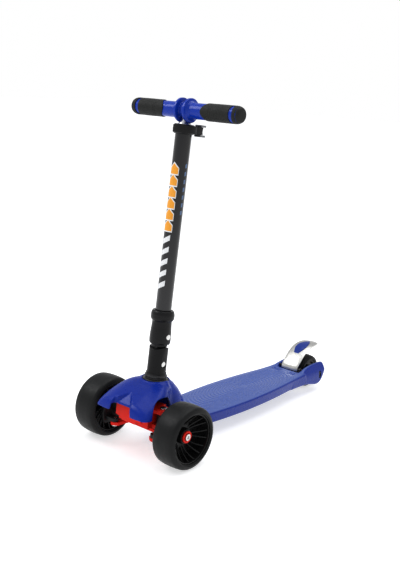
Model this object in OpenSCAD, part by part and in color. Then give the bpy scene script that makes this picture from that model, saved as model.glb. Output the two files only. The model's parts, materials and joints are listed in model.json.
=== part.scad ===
// Lean-steered three-wheel kick scooter: two wide front wheels, folding stem, sliding T-bar, foot brake.
// Millimetres. +X is the rider's left, +Y points to the rear, +Z is up, and the ground is z = 0.

/* [Layout] */
// Distance from the front wheel axle to the rear wheel axle
wheelbase = 542; // [520:1:570]
// Height of the deck's standing surface
deck_top = 51.6; // [50:0.1:53]
// Depth of the deck's side walls
deck_depth = 24.6; // [20:0.1:27]

/* [Front wheels] */
// Radius of a front wheel
wheel_r = 60; // [58:0.5:60]
// Width of a front tyre
tyre_w = 53.4; // [48:0.1:53.4]
// Distance from the centre plane to a front tyre's outer face
track_outer = 129.8; // [129.8:0.1:140]
// Radius of the round shoulders on a front tyre
shoulder_r = 9; // [5:0.5:10]
// Radius of the tyre's seat on the rim
rim_r = 48.1; // [46:0.1:49]
// Number of curved ribs on a front rim
rib_count = 18; // [9:1:24]

/* [Rear wheel] */
// Radius of the rear wheel
rear_r = 37.8; // [34:0.1:38]
// Width of the rear tyre
rear_w = 34; // [28:1:36]

/* [Stem] */
// Rearward tilt of the stem from vertical, in degrees
stem_tilt = 5.5; // [0:0.5:8]
// Height of the fold pivot
pivot_z = 165.6; // [160:0.1:172]
// Distance of the fold pivot behind the front axle
pivot_back = 33.2; // [32:0.1:35]
// Outer radius of the stem tube
stem_r = 15.1; // [14.5:0.1:15.1]
// Height of the handlebar's centre above the fold pivot, along the stem, at the lowest setting
bar_up = 465.6; // [460:0.5:540]
// Outer radius of the sliding inner post
post_r = 12.4; // [11.5:0.1:12.4]

/* [Handlebar] */
// Half the length of the handlebar
bar_half = 127.2; // [110:0.1:150]
// Radius of the bar between hub and grips
bar_r = 14; // [13:0.1:14]
// Radius of the two flanges on the hub
flange_r = 21.6; // [18:0.1:21.6]
// Radius of a rubber grip
grip_r = 15.4; // [15:0.1:17]

/* [Hidden] */
$fn = 64;

fit = 0.05;                       // radial clearance of a running fit
// Outer and inner edge of a cover finger: [x, distance behind the front axle, z, radius]
finger = [[18, 24, 110, 16], [39, 2, 109, 15.5], [50, -28, 105, 14], [55.5, -53, 99.5, 11.5]];
finger_edge = [[8, 24, 112, 14], [12, 0, 114, 13], [15, -30, 110, 11], [32.5, -53.5, 98.5, 11]];
front_reach = finger[3][3] - finger[3][1];       // the fingertips are the foremost point
front_y = -(wheelbase + rear_r - front_reach) / 2;   // puts the middle of the length at y = 0
rear_y = front_y + wheelbase;
deck_low = deck_top - deck_depth;
hub_x = 52;                       // kingpin axis, from the centre plane
lean_z = 78;                      // height of the lean axis
axle_r = 4;
bearing_r = 11;
bearing_w = 7;
tyre_in = track_outer - tyre_w;   // inner face of a front tyre
rim_in = tyre_in + 11;            // inner face of the rim's hub
rim_out = 110;                    // outer face of the rim's hub
blue = [0.10, 0.17, 0.62];
red = [0.80, 0.16, 0.12];
black = [0.07, 0.07, 0.08];
dark = [0.16, 0.17, 0.18];
silver = [0.78, 0.79, 0.80];

// ---- frames ----
module at_front() translate([0, front_y, 0]) children();
module at_rear() translate([0, rear_y, rear_r]) children();
module on_stem(up = 0) translate([0, front_y + pivot_back, pivot_z]) rotate([-stem_tilt, 0, 0])
    translate([0, 0, up]) children();
// Turns z to +x, for round pieces that lie across the scooter
module along_x(from = 0) translate([from, 0, 0]) rotate([0, 90, 0]) children();
// Turns z to +y, for round pieces that lie along the scooter
module along_y(from = 0) translate([0, from, 0]) rotate([-90, 0, 0]) children();
module side(s) mirror([s < 0 ? 1 : 0, 0, 0]) children();
module ring(r_out, r_in, h) difference() {
    cylinder(r = r_out, h = h);
    translate([0, 0, -1]) cylinder(r = r_in, h = h + 2);
}

// ---- deck ----
tail_wall = 46.9;                 // outer face of a tail wall
tail_gap = 29.5;                  // inner face of a tail wall
hinge_back = 487;                 // brake hinge, behind the front axle
hinge_z = 55;
// Half width of the deck along its length: [distance behind the front axle, half width]
deck_side = [[46, 34], [90, 44], [120, 50.7], [150, 55], [190, 58.5], [240, 60.7], [280, 60.7],
    [330, 59], [380, 55.2], [420, 51], [460, 47.6], [480.5, 46.9]];
function mirror_outline(side_pts) = concat(
    [for (p = side_pts) [p[1], p[0]]],
    [for (i = [len(side_pts) - 1:-1:0]) [-side_pts[i][1], side_pts[i][0]]]);
module deck_plan(inset = 0, first = 46, last = 480.5)
    polygon(mirror_outline([for (p = deck_side) [min(max(p[0], first), last), p[1] - inset]]));
deck_wall = 5;
board_t = 5;                      // thickness of the board between its ribs
rib_h = 3;
rib_t = 3;
rib_gaps = 7;
rib_pitch = 58;
// Side view of a tail wall: [distance behind the front axle, height]
tail_side = [[430, deck_low], [430, deck_top], [462, 52], [475, 54.5], [487, 59], [503, 62.5],
    [530, 65], [554, 64.5], [566, 61], [569.5, 54], [563, 45], [559, 38], [553, 26], [545, 19], [534, 16],
    [518, 19.5], [493, 24]];
tail_lean_z = 45;                 // height from which a tail wall's outer face leans inward
module tail_wall_solid() intersection() {
    side_plate(tail_side, tail_gap, tail_wall);
    translate([0, 600, 0]) rotate([90, 0, 0]) linear_extrude(200) polygon([[tail_gap - 1, 0], [tail_wall, 0],
        [tail_wall, tail_lean_z], [tail_wall - 12, 66], [tail_gap - 1, 66]]);
}
// Extrudes a side view [back, up] across the scooter, from x = low to x = high
module side_plate(points, low, high) translate([low, 0, 0])
    rotate([90, 0, 90]) linear_extrude(high - low) polygon(points);

module deck_board() color(blue) at_front() difference() {
    union() {
        translate([0, 0, deck_low]) linear_extrude(deck_depth) deck_plan();
        // Standing pad, a little above the rim of the deck
        translate([0, 0, deck_top]) linear_extrude(0.9) deck_plan(5, 126, 452);
        // Tower that carries the truck bracket
        translate([-20, 44, deck_low]) cube([40, 18, plate_low - deck_low]);
        for (s = [1, -1]) side(s) tail_wall_solid();
    }
    // Hollow underside
    translate([0, 0, deck_low - 1]) linear_extrude(deck_depth - board_t - rib_h + 1)
        deck_plan(deck_wall, 66, 474);
    // Shallow pockets above it, which leave low cross ribs
    for (i = [0:rib_gaps - 1]) translate([0, 0, deck_low]) linear_extrude(deck_depth - board_t)
        intersection() {
            deck_plan(deck_wall, 66, 474);
            translate([-80, 68 + i * rib_pitch]) square([160, rib_pitch - rib_t]);
        }
    // Hollow tower
    translate([-16, 48, deck_low - 1]) cube([32, 10, 95 - deck_low]);
    // Bores for the bracket bolts, the rear axle and the brake pin
    for (x = [-1, 1]) translate([x * bracket_bolt_x, bracket_bolt_back, 90]) cylinder(r = 2.5, h = 30);
    translate([0, wheelbase, rear_r]) along_x(-50) cylinder(r = axle_r, h = 100);
    for (s = [1, -1]) side(s) translate([0, wheelbase, rear_r]) along_x(42.4) cylinder(r = 8, h = 10);
    translate([0, hinge_back, hinge_z]) along_x(-34) cylinder(r = 3, h = 68);
}

// ---- front cover: dome with two fingers that reach forward over the knuckles ----
module knot(k, inset, drop) translate([k[0], k[1], k[2] - drop]) sphere(r = k[3] - inset, $fn = 24);
module finger_solid(inset, drop) for (i = [0:2]) hull() for (d = [0, drop]) for (j = [i, i + 1]) {
    knot(finger[j], inset, d);
    knot(finger_edge[j], inset, d);
}
// Dome from the stem's foot down to the deck: discs [distance behind the front axle, z, radius, height]
dome_discs = [[31, 126, 26.4, 8.4], [-6, 114, 27, 11.5], [35, 119, 32, 5], [41, 106, 37.5, 5],
    [47, 92, 41, 5], [54, 76, 42, 5], [60, deck_top, 43, 5]];
module dome_solid(inset) hull() for (d = dome_discs)
    translate([0, d[0], d[1]]) cylinder(r = d[2] - inset, h = d[3] - (d[3] > 5 ? 2 * inset : 0), $fn = 48);
// Shelf between the fingers
module shelf_solid(inset, drop) hull() for (x = [-38, 38]) for (d = [0, drop]) {
    translate([x, 0, 106 - d]) sphere(r = 8 - inset, $fn = 24);
    translate([x, -44, 103.5 - d]) sphere(r = 6 - inset, $fn = 24);
}
module front_cover() color(blue) difference() {
    at_front() difference() {
        union() {
            dome_solid(0);
            for (s = [1, -1]) side(s) finger_solid(0, 0);
            shelf_solid(0, 0);
        }
        dome_solid(3);
        for (s = [1, -1]) side(s) finger_solid(3, 45);
        shelf_solid(3, 45);
        // Room for the beam, the knuckles and their lean
        translate([-90, -80, 30]) cube([180, 40.1, 58]);
        translate([-90, -40, 30]) cube([180, 74, 78.5]);
    }
    on_stem(-70) cylinder(r = 17.6, h = 60);
    // Seat of the stem's flange
    on_stem(flange_seat) cylinder(r = foot_flange_r + 0.2, h = 60);
}

// ---- truck bracket under the dome ----
plate_low = 103;
plate_high = 108;
lug_t = 6;
lug_front = -33;
lug_rear = 23;
base_bolt_places = [[-11, 17], [11, 17], [0, 38]];
bracket_bolt_x = 9;
bracket_bolt_back = 53;
module truck_bracket() color(black) at_front() difference() {
    union() {
        translate([-25, lug_front, plate_low]) cube([50, 77, plate_high - plate_low]);
        translate([-20, 40, plate_low]) cube([40, 22, plate_high - plate_low]);
        for (y = [lug_front, lug_rear]) {
            translate([-14, y, lean_z]) cube([28, lug_t, plate_low - lean_z]);
            translate([0, 0, lean_z]) along_y(y) cylinder(r = 14, h = lug_t);
        }
    }
    translate([0, 0, lean_z]) along_y(-50) cylinder(r = 6, h = 100);
    for (x = [-1, 1]) translate([x * bracket_bolt_x, bracket_bolt_back, 90]) cylinder(r = 2.5, h = 30);
    for (b = base_bolt_places) translate([b[0], b[1], 90]) cylinder(r = 2.5, h = 30);
}
module cap_bolt(r, length, head_r, head_h) {
    cylinder(r = r, h = length);
    translate([0, 0, length]) difference() {
        cylinder(r = head_r, h = head_h);
        translate([0, 0, head_h / 2]) cylinder(r = head_r * 0.5, h = head_h, $fn = 6);
    }
}
module bracket_bolts() color(silver) at_front() for (x = [-1, 1])
    translate([x * bracket_bolt_x, bracket_bolt_back, 99]) cap_bolt(2.5, plate_high - 99, 4.4, 2.5);
// Shoulder bolt that screws into the front lug
module lean_pin() color(silver) at_front() translate([0, 0, lean_z]) {
    along_y(lug_front) cylinder(r = 6, h = lug_rear + lug_t - lug_front);
    along_y(lug_rear + lug_t) cylinder(r = 10, h = 5, $fn = 6);
}
module lean_buffers() color(dark) at_front() for (x = [-19, 19]) translate([x, -8, beam_high])
    rotate_extrude() polygon([[0, 0], [5.5, 0], [4, 2], [3.6, 3.5], [4, 5], [5.5, 7], [0, 7]]);

// ---- foot of the stem ----
flange_seat = -32.3;              // underside of the foot's flange, from the fold pivot
foot_flange_r = 24.5;
foot_ring = -25.6;                // underside of the ring below the lower post
post_low = -21;                   // lower end of the lower post
module stem_base() color(black) difference() {
    on_stem() {
        translate([0, 0, -60]) cylinder(r = 17, h = 60 + post_low);
        translate([0, 0, flange_seat]) cylinder(r = foot_flange_r, h = 3);
        translate([0, 0, flange_seat + 3]) cylinder(r = 20, h = foot_ring - flange_seat - 3);
        translate([0, 0, foot_ring]) cylinder(r = 21.2, h = post_low - foot_ring);
    }
    translate([-40, front_y - 20, 60]) cube([80, 100, plate_high - 60]);
    at_front() for (b = base_bolt_places) translate([b[0], b[1], 90]) cylinder(r = 2.5, h = 28);
}
module base_bolts() color(silver) at_front() for (b = base_bolt_places)
    translate([b[0], b[1], 118]) mirror([0, 0, 1]) cap_bolt(2.5, 118 - plate_low, 4.4, 2.6);

// ---- fold joint ----
post_top = 32.5;                  // round top of the lower post, from the pivot
tongue_half = 6.9;
slot_half = 7.2;
module lower_post() color(black) on_stem() difference() {
    union() {
        intersection() {
            translate([0, 0, post_low]) cylinder(r = 18, h = post_top - post_low);
            along_x(-20) cylinder(r = post_top, h = 40);
        }
        translate([0, 0, post_low]) cylinder(r = 19.4, h = 3);
    }
    // Slot for the tongue, open to the rear and the top
    translate([-slot_half, -13.5, -14]) cube([2 * slot_half, 60, 60]);
    along_x(-30) cylinder(r = axle_r, h = 60);
    along_x(13) cylinder(r = 6.2, h = 10);
    along_x(-23) cylinder(r = 6.6, h = 10);
}
module pivot_bolt() color(silver) on_stem() {
    along_x(-13) cylinder(r = axle_r, h = 26);
    along_x(13) cylinder(r = 5.4, h = 3.4);
}
module pivot_nut() color(silver) on_stem() difference() {
    along_x(-16.5) cylinder(r = 6.3, h = 3.5, $fn = 6);
    along_x(-20) cylinder(r = axle_r, h = 10);
}
lock_z = 53.4;                    // lock pin above the fold pivot
lock_travel = 10;
tube_foot = 68;                   // lower end of the stem tube
module fold_tongue() color(black) on_stem() difference() {
    union() {
        translate([-tongue_half, 0, 0]) along_x() cylinder(r = 13, h = 2 * tongue_half);
        translate([-tongue_half, -13, 0]) cube([2 * tongue_half, 26, 36]);
        translate([0, 0, 33.5]) cylinder(r = stem_r, h = tube_foot - 33.5);
        translate([0, 0, tube_foot]) cylinder(r = stem_r - 1.7, h = 30);
    }
    along_x(-20) cylinder(r = axle_r + fit, h = 40);
    // Slot that the lock pin slides in
    for (z = [lock_z, lock_z + lock_travel + 0.5]) translate([0, 0, z]) along_x(-30)
        cylinder(r = 3.2, h = 60);
    translate([-30, -3.2, lock_z]) cube([60, 6.4, lock_travel + 0.5]);
}
tube_top = 441;
module stem_tube() color(black) on_stem(tube_foot) ring(stem_r, stem_r - 1.7, tube_top - tube_foot);
module tube_bush() color(dark) on_stem(tube_top - 40) ring(stem_r - 1.7, post_r + fit, 40);
module lock_ring() color(silver) on_stem(93) ring(16.9, stem_r, 2);
module lock_spring() color(silver) on_stem() for (i = [0:7])
    translate([0, 0, 64.5 + i * 3.8]) rotate_extrude() translate([16.1, 0]) circle(r = 0.7, $fn = 16);
// Outside of the lock sleeve: [radius, height above the fold pivot]
sleeve_side = [[18.8, 38], [19.9, 41], [20.2, 48], [19.8, 58], [18.9, 70], [18.4, 81], [20.6, 83.5],
    [22.2, 87], [22.2, 94], [21, 99], [19.2, 101.5]];
module lock_sleeve() color(black) on_stem() difference() {
    rotate_extrude() polygon(concat([[stem_r + fit, 38]], sleeve_side,
        [[stem_r + fit, 101.5], [stem_r + fit, 97.5], [17.2, 97.5], [17.2, 63], [stem_r + fit, 63]]));
    translate([0, 0, lock_z]) along_x(-30) cylinder(r = 3, h = 60);
    translate([0, 0, lock_z]) along_x(18) cylinder(r = 5.4, h = 10);
}
module lock_pin() color(silver) on_stem(lock_z) {
    along_x(-19) cylinder(r = 3, h = 37);
    along_x(18) cylinder(r = 5.2, h = 3);
}

// ---- height clamp ----
clamp_z = 432.5;                  // middle of the clamp, above the fold pivot
ear_back = 24;                    // clamp bolt, behind the stem's axis
pin_x = 17;
module clamp_collar() color(black) on_stem(clamp_z) difference() {
    union() {
        rotate_extrude() polygon([[10, -8.5], [17.5, -8.5], [19.7, -6], [20.5, 0], [19.7, 6], [17.5, 8.5],
            [10, 8.5]]);
        translate([-9, 10, -6.5]) cube([18, 20, 13]);
    }
    translate([0, 0, -20]) cylinder(r = stem_r, h = 40);
    translate([-1, 0, -20]) cube([2, 40, 40]);
    translate([0, ear_back, 0]) along_x(-20) cylinder(r = 2.5, h = 40);
}
module clamp_bolt() color(silver) on_stem(clamp_z) translate([0, ear_back, 0]) along_x(-14)
    cylinder(r = 2.5, h = pin_x + 14 - 2);
module clamp_nut() color(silver) on_stem(clamp_z) translate([0, ear_back, 0]) difference() {
    along_x(-13.5) cylinder(r = 5, h = 4.5, $fn = 6);
    along_x(-20) cylinder(r = 2.5, h = 20);
}
module cam_block() color([0.35, 0.36, 0.37]) on_stem(clamp_z) difference() {
    translate([9, ear_back - 5.3, -10.5]) cube([15, 12.8, 21]);
    translate([11, ear_back - 20, -7]) cube([20, 40, 14]);
    translate([pin_x, ear_back, -20]) cylinder(r = 2.5, h = 40);
    translate([0, ear_back, 0]) along_x(0) cylinder(r = 2.5, h = 20);
}
module lever_pin() color(silver) on_stem(clamp_z) translate([pin_x, ear_back, -10.4]) difference() {
    cylinder(r = 2.5, h = 20.8);
    translate([-pin_x, 0, 10.4]) along_x(0) cylinder(r = 2.5, h = pin_x - 2);
}
// Lever: a bow round the left side and the front of the collar
module clamp_lever() color(black) on_stem(clamp_z) difference() {
    union() {
        translate([0, 0, -6.6]) linear_extrude(13.2) intersection() {
            difference() {
                circle(r = 24.8);
                circle(r = 20.9);
            }
            polygon([[0, 0], [60, 30], [60, -60], [-30, -60], [-13, -60]]);
        }
        translate([19.4, 9, -6.6]) cube([4, 15, 13.2]);
        translate([pin_x, ear_back, -6.6]) cylinder(r = 5.4, h = 13.2);
    }
    translate([pin_x, ear_back, -20]) cylinder(r = 2.5 + fit, h = 40);
    // Slot for the clamp bolt
    translate([pin_x, ear_back, -3.2]) cylinder(r = 5.8, h = 6.4);
}

// ---- T-bar ----
module inner_post() color(silver) on_stem() difference() {
    rotate_extrude() polygon([[0, 140], [post_r, 140], [post_r, bar_up - 28], [7, bar_up - 21.8],
        [6, bar_up - 15], [6, bar_up - 11.3], [0, bar_up - 11.3]]);
    translate([0, 0, 100]) cylinder(r = post_r - 1.6, h = bar_up - 130);
}
module bar_core() color(silver) on_stem(bar_up) along_x(-118) ring(11, 9.4, 236);
module bar_hub() color(blue) on_stem(bar_up) difference() {
    along_x(-122) rotate_extrude() polygon(mirror_profile(122));
    along_x(-118) cylinder(r = 11, h = 236);
    translate([0, 0, -30]) cylinder(r = 6, h = 21);
}
// Half section of the hub along the bar, as [radius, distance from one end], for a bar half this long
function mirror_profile(h) = concat([[0, 0], [bar_r, 0]], hub_half(h, -1), hub_half(h, 1),
    [[bar_r, 2 * h], [0, 2 * h]]);
function hub_half(h, s) =
    let (steps = [[bar_r, 20], [17, 13.5], [flange_r, 12.4], [flange_r, 7.6], [13, 6.4]])
    s < 0 ? [for (p = steps) [p[0], h - p[1]]]
          : [for (i = [len(steps) - 1:-1:0]) [steps[i][0], h + steps[i][1]]];
grip_in = 44;
module grip() on_stem(bar_up) along_x() rotate_extrude() polygon([[bar_r, grip_in], [grip_r - 0.5, grip_in],
    [grip_r, grip_in + 2], [grip_r, bar_half - 9], [grip_r - 1.6, bar_half - 3], [grip_r - 4.5, bar_half],
    [0, bar_half], [0, 122], [bar_r, 122]]);
module grip_left() color(dark) grip();
module grip_right() color(dark) side(-1) grip();

// ---- truck ----
beam_low = 58;
beam_high = 96;
beam_front = -26;
beam_deep = 48;
lug_h = 8;
beam_half = 38;
beam_nose = -39.5;                // front of the block that hides the front lug
nose_side = [[64.5, 17], [70, 20], [72, 33], [94, 31.5]];   // [height, half width]
module axle_beam() color(red) at_front() difference() {
    union() {
        translate([-beam_half, beam_front, beam_low]) cube([2 * beam_half, beam_deep, beam_high - beam_low]);
        translate([0, beam_front + 1, 0]) rotate([90, 0, 0]) linear_extrude(beam_front + 1 - beam_nose)
            polygon(mirror_outline(nose_side));
        for (s = [1, -1]) side(s) for (z = [beam_low, beam_high - lug_h]) {
            translate([hub_x, 0, z]) cylinder(r = 14, h = lug_h);
            translate([beam_half - 1, -14, z]) cube([hub_x - beam_half + 1, 28, lug_h]);
        }
    }
    // Room for the front lug, from above
    translate([0, 0, lean_z]) along_y(lug_front - 1) cylinder(r = 14.6, h = lug_t + 1.5);
    translate([-19.5, lug_front - 1, lean_z]) cube([39, lug_t + 1.5, 40]);
    translate([0, 0, lean_z]) along_y(lug_front) cylinder(r = 6 + fit, h = 80);
    for (s = [1, -1]) side(s) translate([hub_x, 0, 40]) cylinder(r = axle_r, h = 80);
}
module kingpins() color(silver) at_front() for (s = [1, -1]) side(s) translate([hub_x, 0, 0]) {
    translate([0, 0, beam_low - 5]) cylinder(r = axle_r, h = beam_high - beam_low + 5);
    translate([0, 0, beam_high]) cylinder(r = 6.5, h = 3);
}
module kingpin_nuts() color(silver) at_front() for (s = [1, -1]) side(s)
    translate([hub_x, 0, beam_low - 4]) difference() {
        cylinder(r = 7.2, h = 4, $fn = 6);
        translate([0, 0, -1]) cylinder(r = axle_r, h = 10);
    }
arm_fwd = 22;                     // tie rod pins, ahead of the kingpins
arm_low = 46.4;
eye_low = beam_low + lug_h + 0.4; // eye of a knuckle, between the beam's lugs
eye_h = beam_high - beam_low - 2 * lug_h - 0.8;
module knuckle() color(black) at_front() difference() {
    union() {
        // Eye between the beam's lugs
        translate([hub_x, 0, eye_low]) cylinder(r = 13, h = eye_h);
        translate([hub_x, -13, eye_low]) cube([16, 26, eye_h]);
        // Upright beside the wheel, with round corners
        side_round(67, 75);
        translate([0, 0, wheel_r]) along_x(67) cylinder(r1 = 18, r2 = 13, h = 19.5);
        // Steering arm
        translate([hub_x, -arm_fwd, arm_low]) cylinder(r = 7.5, h = 7);
        translate([hub_x, -arm_fwd - 7.5, arm_low]) cube([18, 15, 7]);
    }
    translate([hub_x, 0, 40]) cylinder(r = axle_r + fit, h = 80);
    translate([hub_x, -arm_fwd, 30]) cylinder(r = 3, h = 40);
    translate([0, 0, wheel_r]) along_x(60) cylinder(r = axle_r, h = 50);
}
module side_round(low, high) translate([low, 0, 0]) rotate([90, 0, 90]) linear_extrude(high - low)
    polygon([[-36, 44], [-32, 40], [16, 38], [24, 46], [24, 76], [14, 87], [-18, 87], [-34, 76], [-38, 60]]);
module axle_bolt() color(silver) at_front() translate([0, 0, wheel_r]) {
    along_x(67) cylinder(r = axle_r, h = 43.4);
    along_x(86.6) ring(6, axle_r, 0.8);
    along_x(110.4) difference() {
        cylinder(r = 6.5, h = 5);
        translate([0, 0, 2.5]) cylinder(r = 3.2, h = 5, $fn = 6);
    }
}
module tie_pin() color(silver) at_front() translate([hub_x, -arm_fwd, 0]) {
    translate([0, 0, arm_low - 7]) cylinder(r = 3, h = 14);
    translate([0, 0, arm_low - 9.5]) cylinder(r = 5.2, h = 2.5);
}
module knuckle_left() knuckle();
module knuckle_right() side(-1) knuckle();
module axle_bolt_left() axle_bolt();
module axle_bolt_right() side(-1) axle_bolt();
module tie_pin_left() tie_pin();
module tie_pin_right() side(-1) tie_pin();
// Outline of the tie rod's left half, from the middle of its front to the middle of its rear: [x, y]
rod_side = [[39, 4], [41, -24], [47, -28.5], [57, -18], [49, 14]];
module tie_rod() color(red) at_front() translate([0, 0, arm_low - 6.5]) linear_extrude(6) difference() {
    union() {
        for (s = [1, -1]) translate([s * hub_x, -arm_fwd]) circle(r = 8);
        polygon(mirror_outline([for (p = rod_side) [p[1], p[0]]]));
    }
    for (s = [1, -1]) for (y = [0, 1]) translate([s * hub_x, -arm_fwd + y]) circle(r = 3.25);
    for (s = [1, -1]) translate([s * hub_x - 3.25, -arm_fwd]) square([6.5, 1]);
}

// ---- front wheels ----
// Ring with round outer corners, from [x = low to high], seat radius to outer radius
module tyre_ring(low, high, seat, out, round_r) along_x(low) rotate_extrude($fn = 96) difference() {
    translate([seat, 0]) square([out - seat, high - low]);
    for (end = [0, 1]) translate([out - round_r, end ? high - low - round_r : round_r]) difference() {
        translate([0, end ? 0 : -round_r - 1]) square([round_r + 1, round_r + 1]);
        circle(r = round_r);
    }
}
module front_tyre() color(dark) at_front() translate([0, 0, wheel_r])
    tyre_ring(tyre_in, track_outer, rim_r, wheel_r, shoulder_r);
module front_rim() color(black) at_front() translate([0, 0, wheel_r]) difference() {
    union() {
        along_x(tyre_in + 3) ring(rim_r, rim_r - 3, tyre_w - 6);
        along_x(97) cylinder(r = rim_r - 2, h = 3);
        along_x(rim_in + 0.2) cylinder(r = 15, h = rim_out - rim_in - 0.2);
        along_x(100) linear_extrude(13) for (i = [0:rib_count - 1]) rotate(i * 360 / rib_count) rib();
    }
    along_x(rim_in - 5) cylinder(r = bearing_r, h = 60);
}
// One curved rib, from the hub to the barrel
rib_bend = 40;
module rib() intersection() {
    difference() {
        circle(r = rim_r - 2);
        circle(r = 13);
    }
    translate([rib_bend / 2 + 8, rib_bend]) difference() {
        circle(r = rib_bend + 1);
        circle(r = rib_bend - 1);
    }
    translate([0, -20]) square([60, 60]);
}
module front_bearings() color(silver) at_front() translate([0, 0, wheel_r])
    for (x = [rim_in + 0.2, rim_out - bearing_w]) along_x(x) ring(bearing_r, axle_r + fit, bearing_w);
module hub_ring() color(red) at_front() translate([0, 0, wheel_r]) along_x(rim_out) ring(11.6, 7, 3.4);
module tyre_left() front_tyre();
module tyre_right() side(-1) front_tyre();
module rim_left() front_rim();
module rim_right() side(-1) front_rim();
module bearings_left() front_bearings();
module bearings_right() side(-1) front_bearings();
module hub_ring_left() hub_ring();
module hub_ring_right() side(-1) hub_ring();

// ---- rear wheel ----
rear_rim_r = 27;
module rear_tyre() color(dark) at_rear() tyre_ring(-rear_w / 2, rear_w / 2, rear_rim_r, rear_r, 8);
module rear_rim() color(black) at_rear() difference() {
    along_x(-14) cylinder(r = rear_rim_r, h = 28);
    along_x(-20) cylinder(r = bearing_r, h = 40);
    for (end = [-20, 10]) along_x(end) ring(23, 15, 10);
}
module rear_bearings() color(silver) at_rear() for (x = [-14, 7]) along_x(x)
    ring(bearing_r, axle_r + fit, bearing_w);
module rear_axle() color(silver) at_rear() along_x(-45) cylinder(r = axle_r, h = 90);
module rear_axle_nuts() color(silver) at_rear() for (s = [1, -1]) side(s) along_x(42.4) difference() {
    cylinder(r = 7, h = 3.6, $fn = 6);
    translate([0, 0, -1]) cylinder(r = axle_r, h = 10);
}
module rear_spacers() color(silver) at_rear() for (s = [1, -1]) side(s) along_x(14.3)
    ring(6.5, axle_r, tail_gap - 14.3);

// ---- foot brake ----
fender_half = 21.5;
fender_t = 2.6;
// Underside of the fender: [distance behind the front axle, height]
fender_side = [[487, 60.4], [492, 63], [498, 74], [507, 86], [519, 94], [532, 98.6], [546, 100.6],
    [560, 101], [574, 98.4]];
// The same line moved outward by t, in order from front to rear
function lifted(t) = [for (i = [0:len(fender_side) - 1]) let (
    a = fender_side[max(i - 1, 0)],
    b = fender_side[min(i + 1, len(fender_side) - 1)],
    d = norm(b - a))
    fender_side[i] + t * [-(b[1] - a[1]), b[0] - a[0]] / d];
function backward(line) = [for (i = [len(line) - 1:-1:0]) line[i]];
function fender_profile(low, high) = concat(lifted(low), backward(lifted(high)));
module fender_plan() polygon([[-21.5, 478], [21.5, 478], [21.5, 545], [20, 556], [17, 566], [13, 572],
    [8, 575], [-8, 575], [-13, 572], [-17, 566], [-20, 556], [-21.5, 545]]);
module brake_fender() color(silver) at_front() difference() {
    union() {
        intersection() {
            side_plate(fender_profile(0, fender_t), -fender_half, fender_half);
            translate([0, 0, 40]) linear_extrude(80) fender_plan();
        }
        translate([0, hinge_back, hinge_z]) along_x(-fender_half) cylinder(r = 5.4, h = 2 * fender_half);
        // Heel of the fender, round the hinge
        side_plate([[482.5, 56], [491.5, 56], [493.5, 66], [487, 64]], -fender_half, fender_half);
    }
    translate([0, hinge_back, hinge_z]) along_x(-40) cylinder(r = 3 + fit, h = 80);
}
// Teardrop panel on top of the fender
inlay_front = 499;
inlay_long = 58;
inlay_steps = 24;
inlay_half = [for (i = [0:inlay_steps]) let (t = i / inlay_steps)
    [12.5 * pow(sin(180 * pow(t, 0.85)), 0.8), inlay_front + inlay_long * t]];
module fender_inlay() color(blue) at_front() intersection() {
    side_plate(fender_profile(fender_t, fender_t + 0.8), -20, 20);
    translate([0, 0, 60]) linear_extrude(60)
        polygon(concat(inlay_half, [for (p = backward(inlay_half)) [-p[0] - 0.01, p[1]]]));
}
module at_hinge() at_front() translate([0, hinge_back, hinge_z]) children();
module brake_pin() color(silver) at_hinge() along_x(-33) cylinder(r = 3, h = 66);
module brake_spring() color(silver) at_hinge() along_x(22.6) ring(4.6, 3, 6);

deck_board();
front_cover();
truck_bracket();
bracket_bolts();
lean_pin();
lean_buffers();
stem_base();
base_bolts();
lower_post();
pivot_bolt();
pivot_nut();
rear_axle();
rear_axle_nuts();
rear_spacers();
brake_pin();
brake_spring();
axle_beam();
kingpins();
kingpin_nuts();
tie_rod();
knuckle_left();
axle_bolt_left();
tie_pin_left();
knuckle_right();
axle_bolt_right();
tie_pin_right();
tyre_left();
rim_left();
bearings_left();
hub_ring_left();
tyre_right();
rim_right();
bearings_right();
hub_ring_right();
fold_tongue();
stem_tube();
tube_bush();
lock_ring();
lock_spring();
lock_sleeve();
lock_pin();
clamp_collar();
clamp_bolt();
clamp_nut();
cam_block();
lever_pin();
clamp_lever();
inner_post();
bar_core();
bar_hub();
grip_left();
grip_right();
brake_fender();
fender_inlay();
rear_tyre();
rear_rim();
rear_bearings();
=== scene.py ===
"""Looks of a three-wheel kick scooter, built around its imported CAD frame.

The scene is in metres. Shapes are worked out in millimetres, with x across the scooter, y counted
back from the front axle and z up from the ground, and turned into the frame's metres at the end.
"""

import json
import math

import bmesh
import bpy
import numpy as np
import openvdb
from mathutils import Matrix, Vector


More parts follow.
